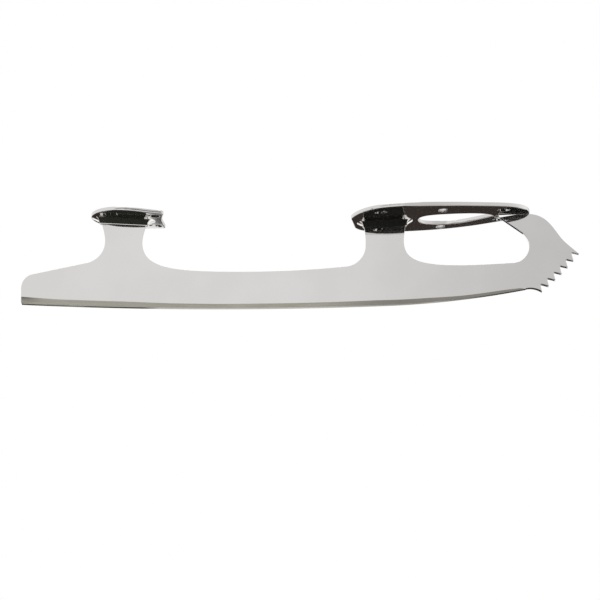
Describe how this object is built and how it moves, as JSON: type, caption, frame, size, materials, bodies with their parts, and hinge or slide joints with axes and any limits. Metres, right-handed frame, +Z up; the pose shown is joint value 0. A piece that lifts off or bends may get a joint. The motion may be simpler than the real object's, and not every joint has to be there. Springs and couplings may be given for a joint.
{
  "type": "figure skate blade",
  "caption": "Figure skate blade: a hollow-ground runner with a toothed toe pick, brazed up under a heel plate and a sole plate with a teardrop opening and screw holes.",
  "frame": {"origin": "on the sole plate's upper face, over the ball post's centre line and the runner's middle plane", "axes": "+X towards the toe, +Z up towards the boot; the ice is 53.7 mm below the origin"},
  "size_m": [0.3224, 0.0695, 0.0579],
  "materials": {
    "runner": "polished plating on tempered steel, ground bare along the ice edge",
    "plates": "bright polished plating on pressed steel",
    "brazing": "silver brazing alloy under the same plating"
  },
  "bodies": {
    "root": {"runner": "runner", "heel_plate": "plates", "sole_plate": "plates", "heel_braze": "brazing", "ball_braze": "brazing", "toe_braze": "brazing"}
  },
  "joints": []
}
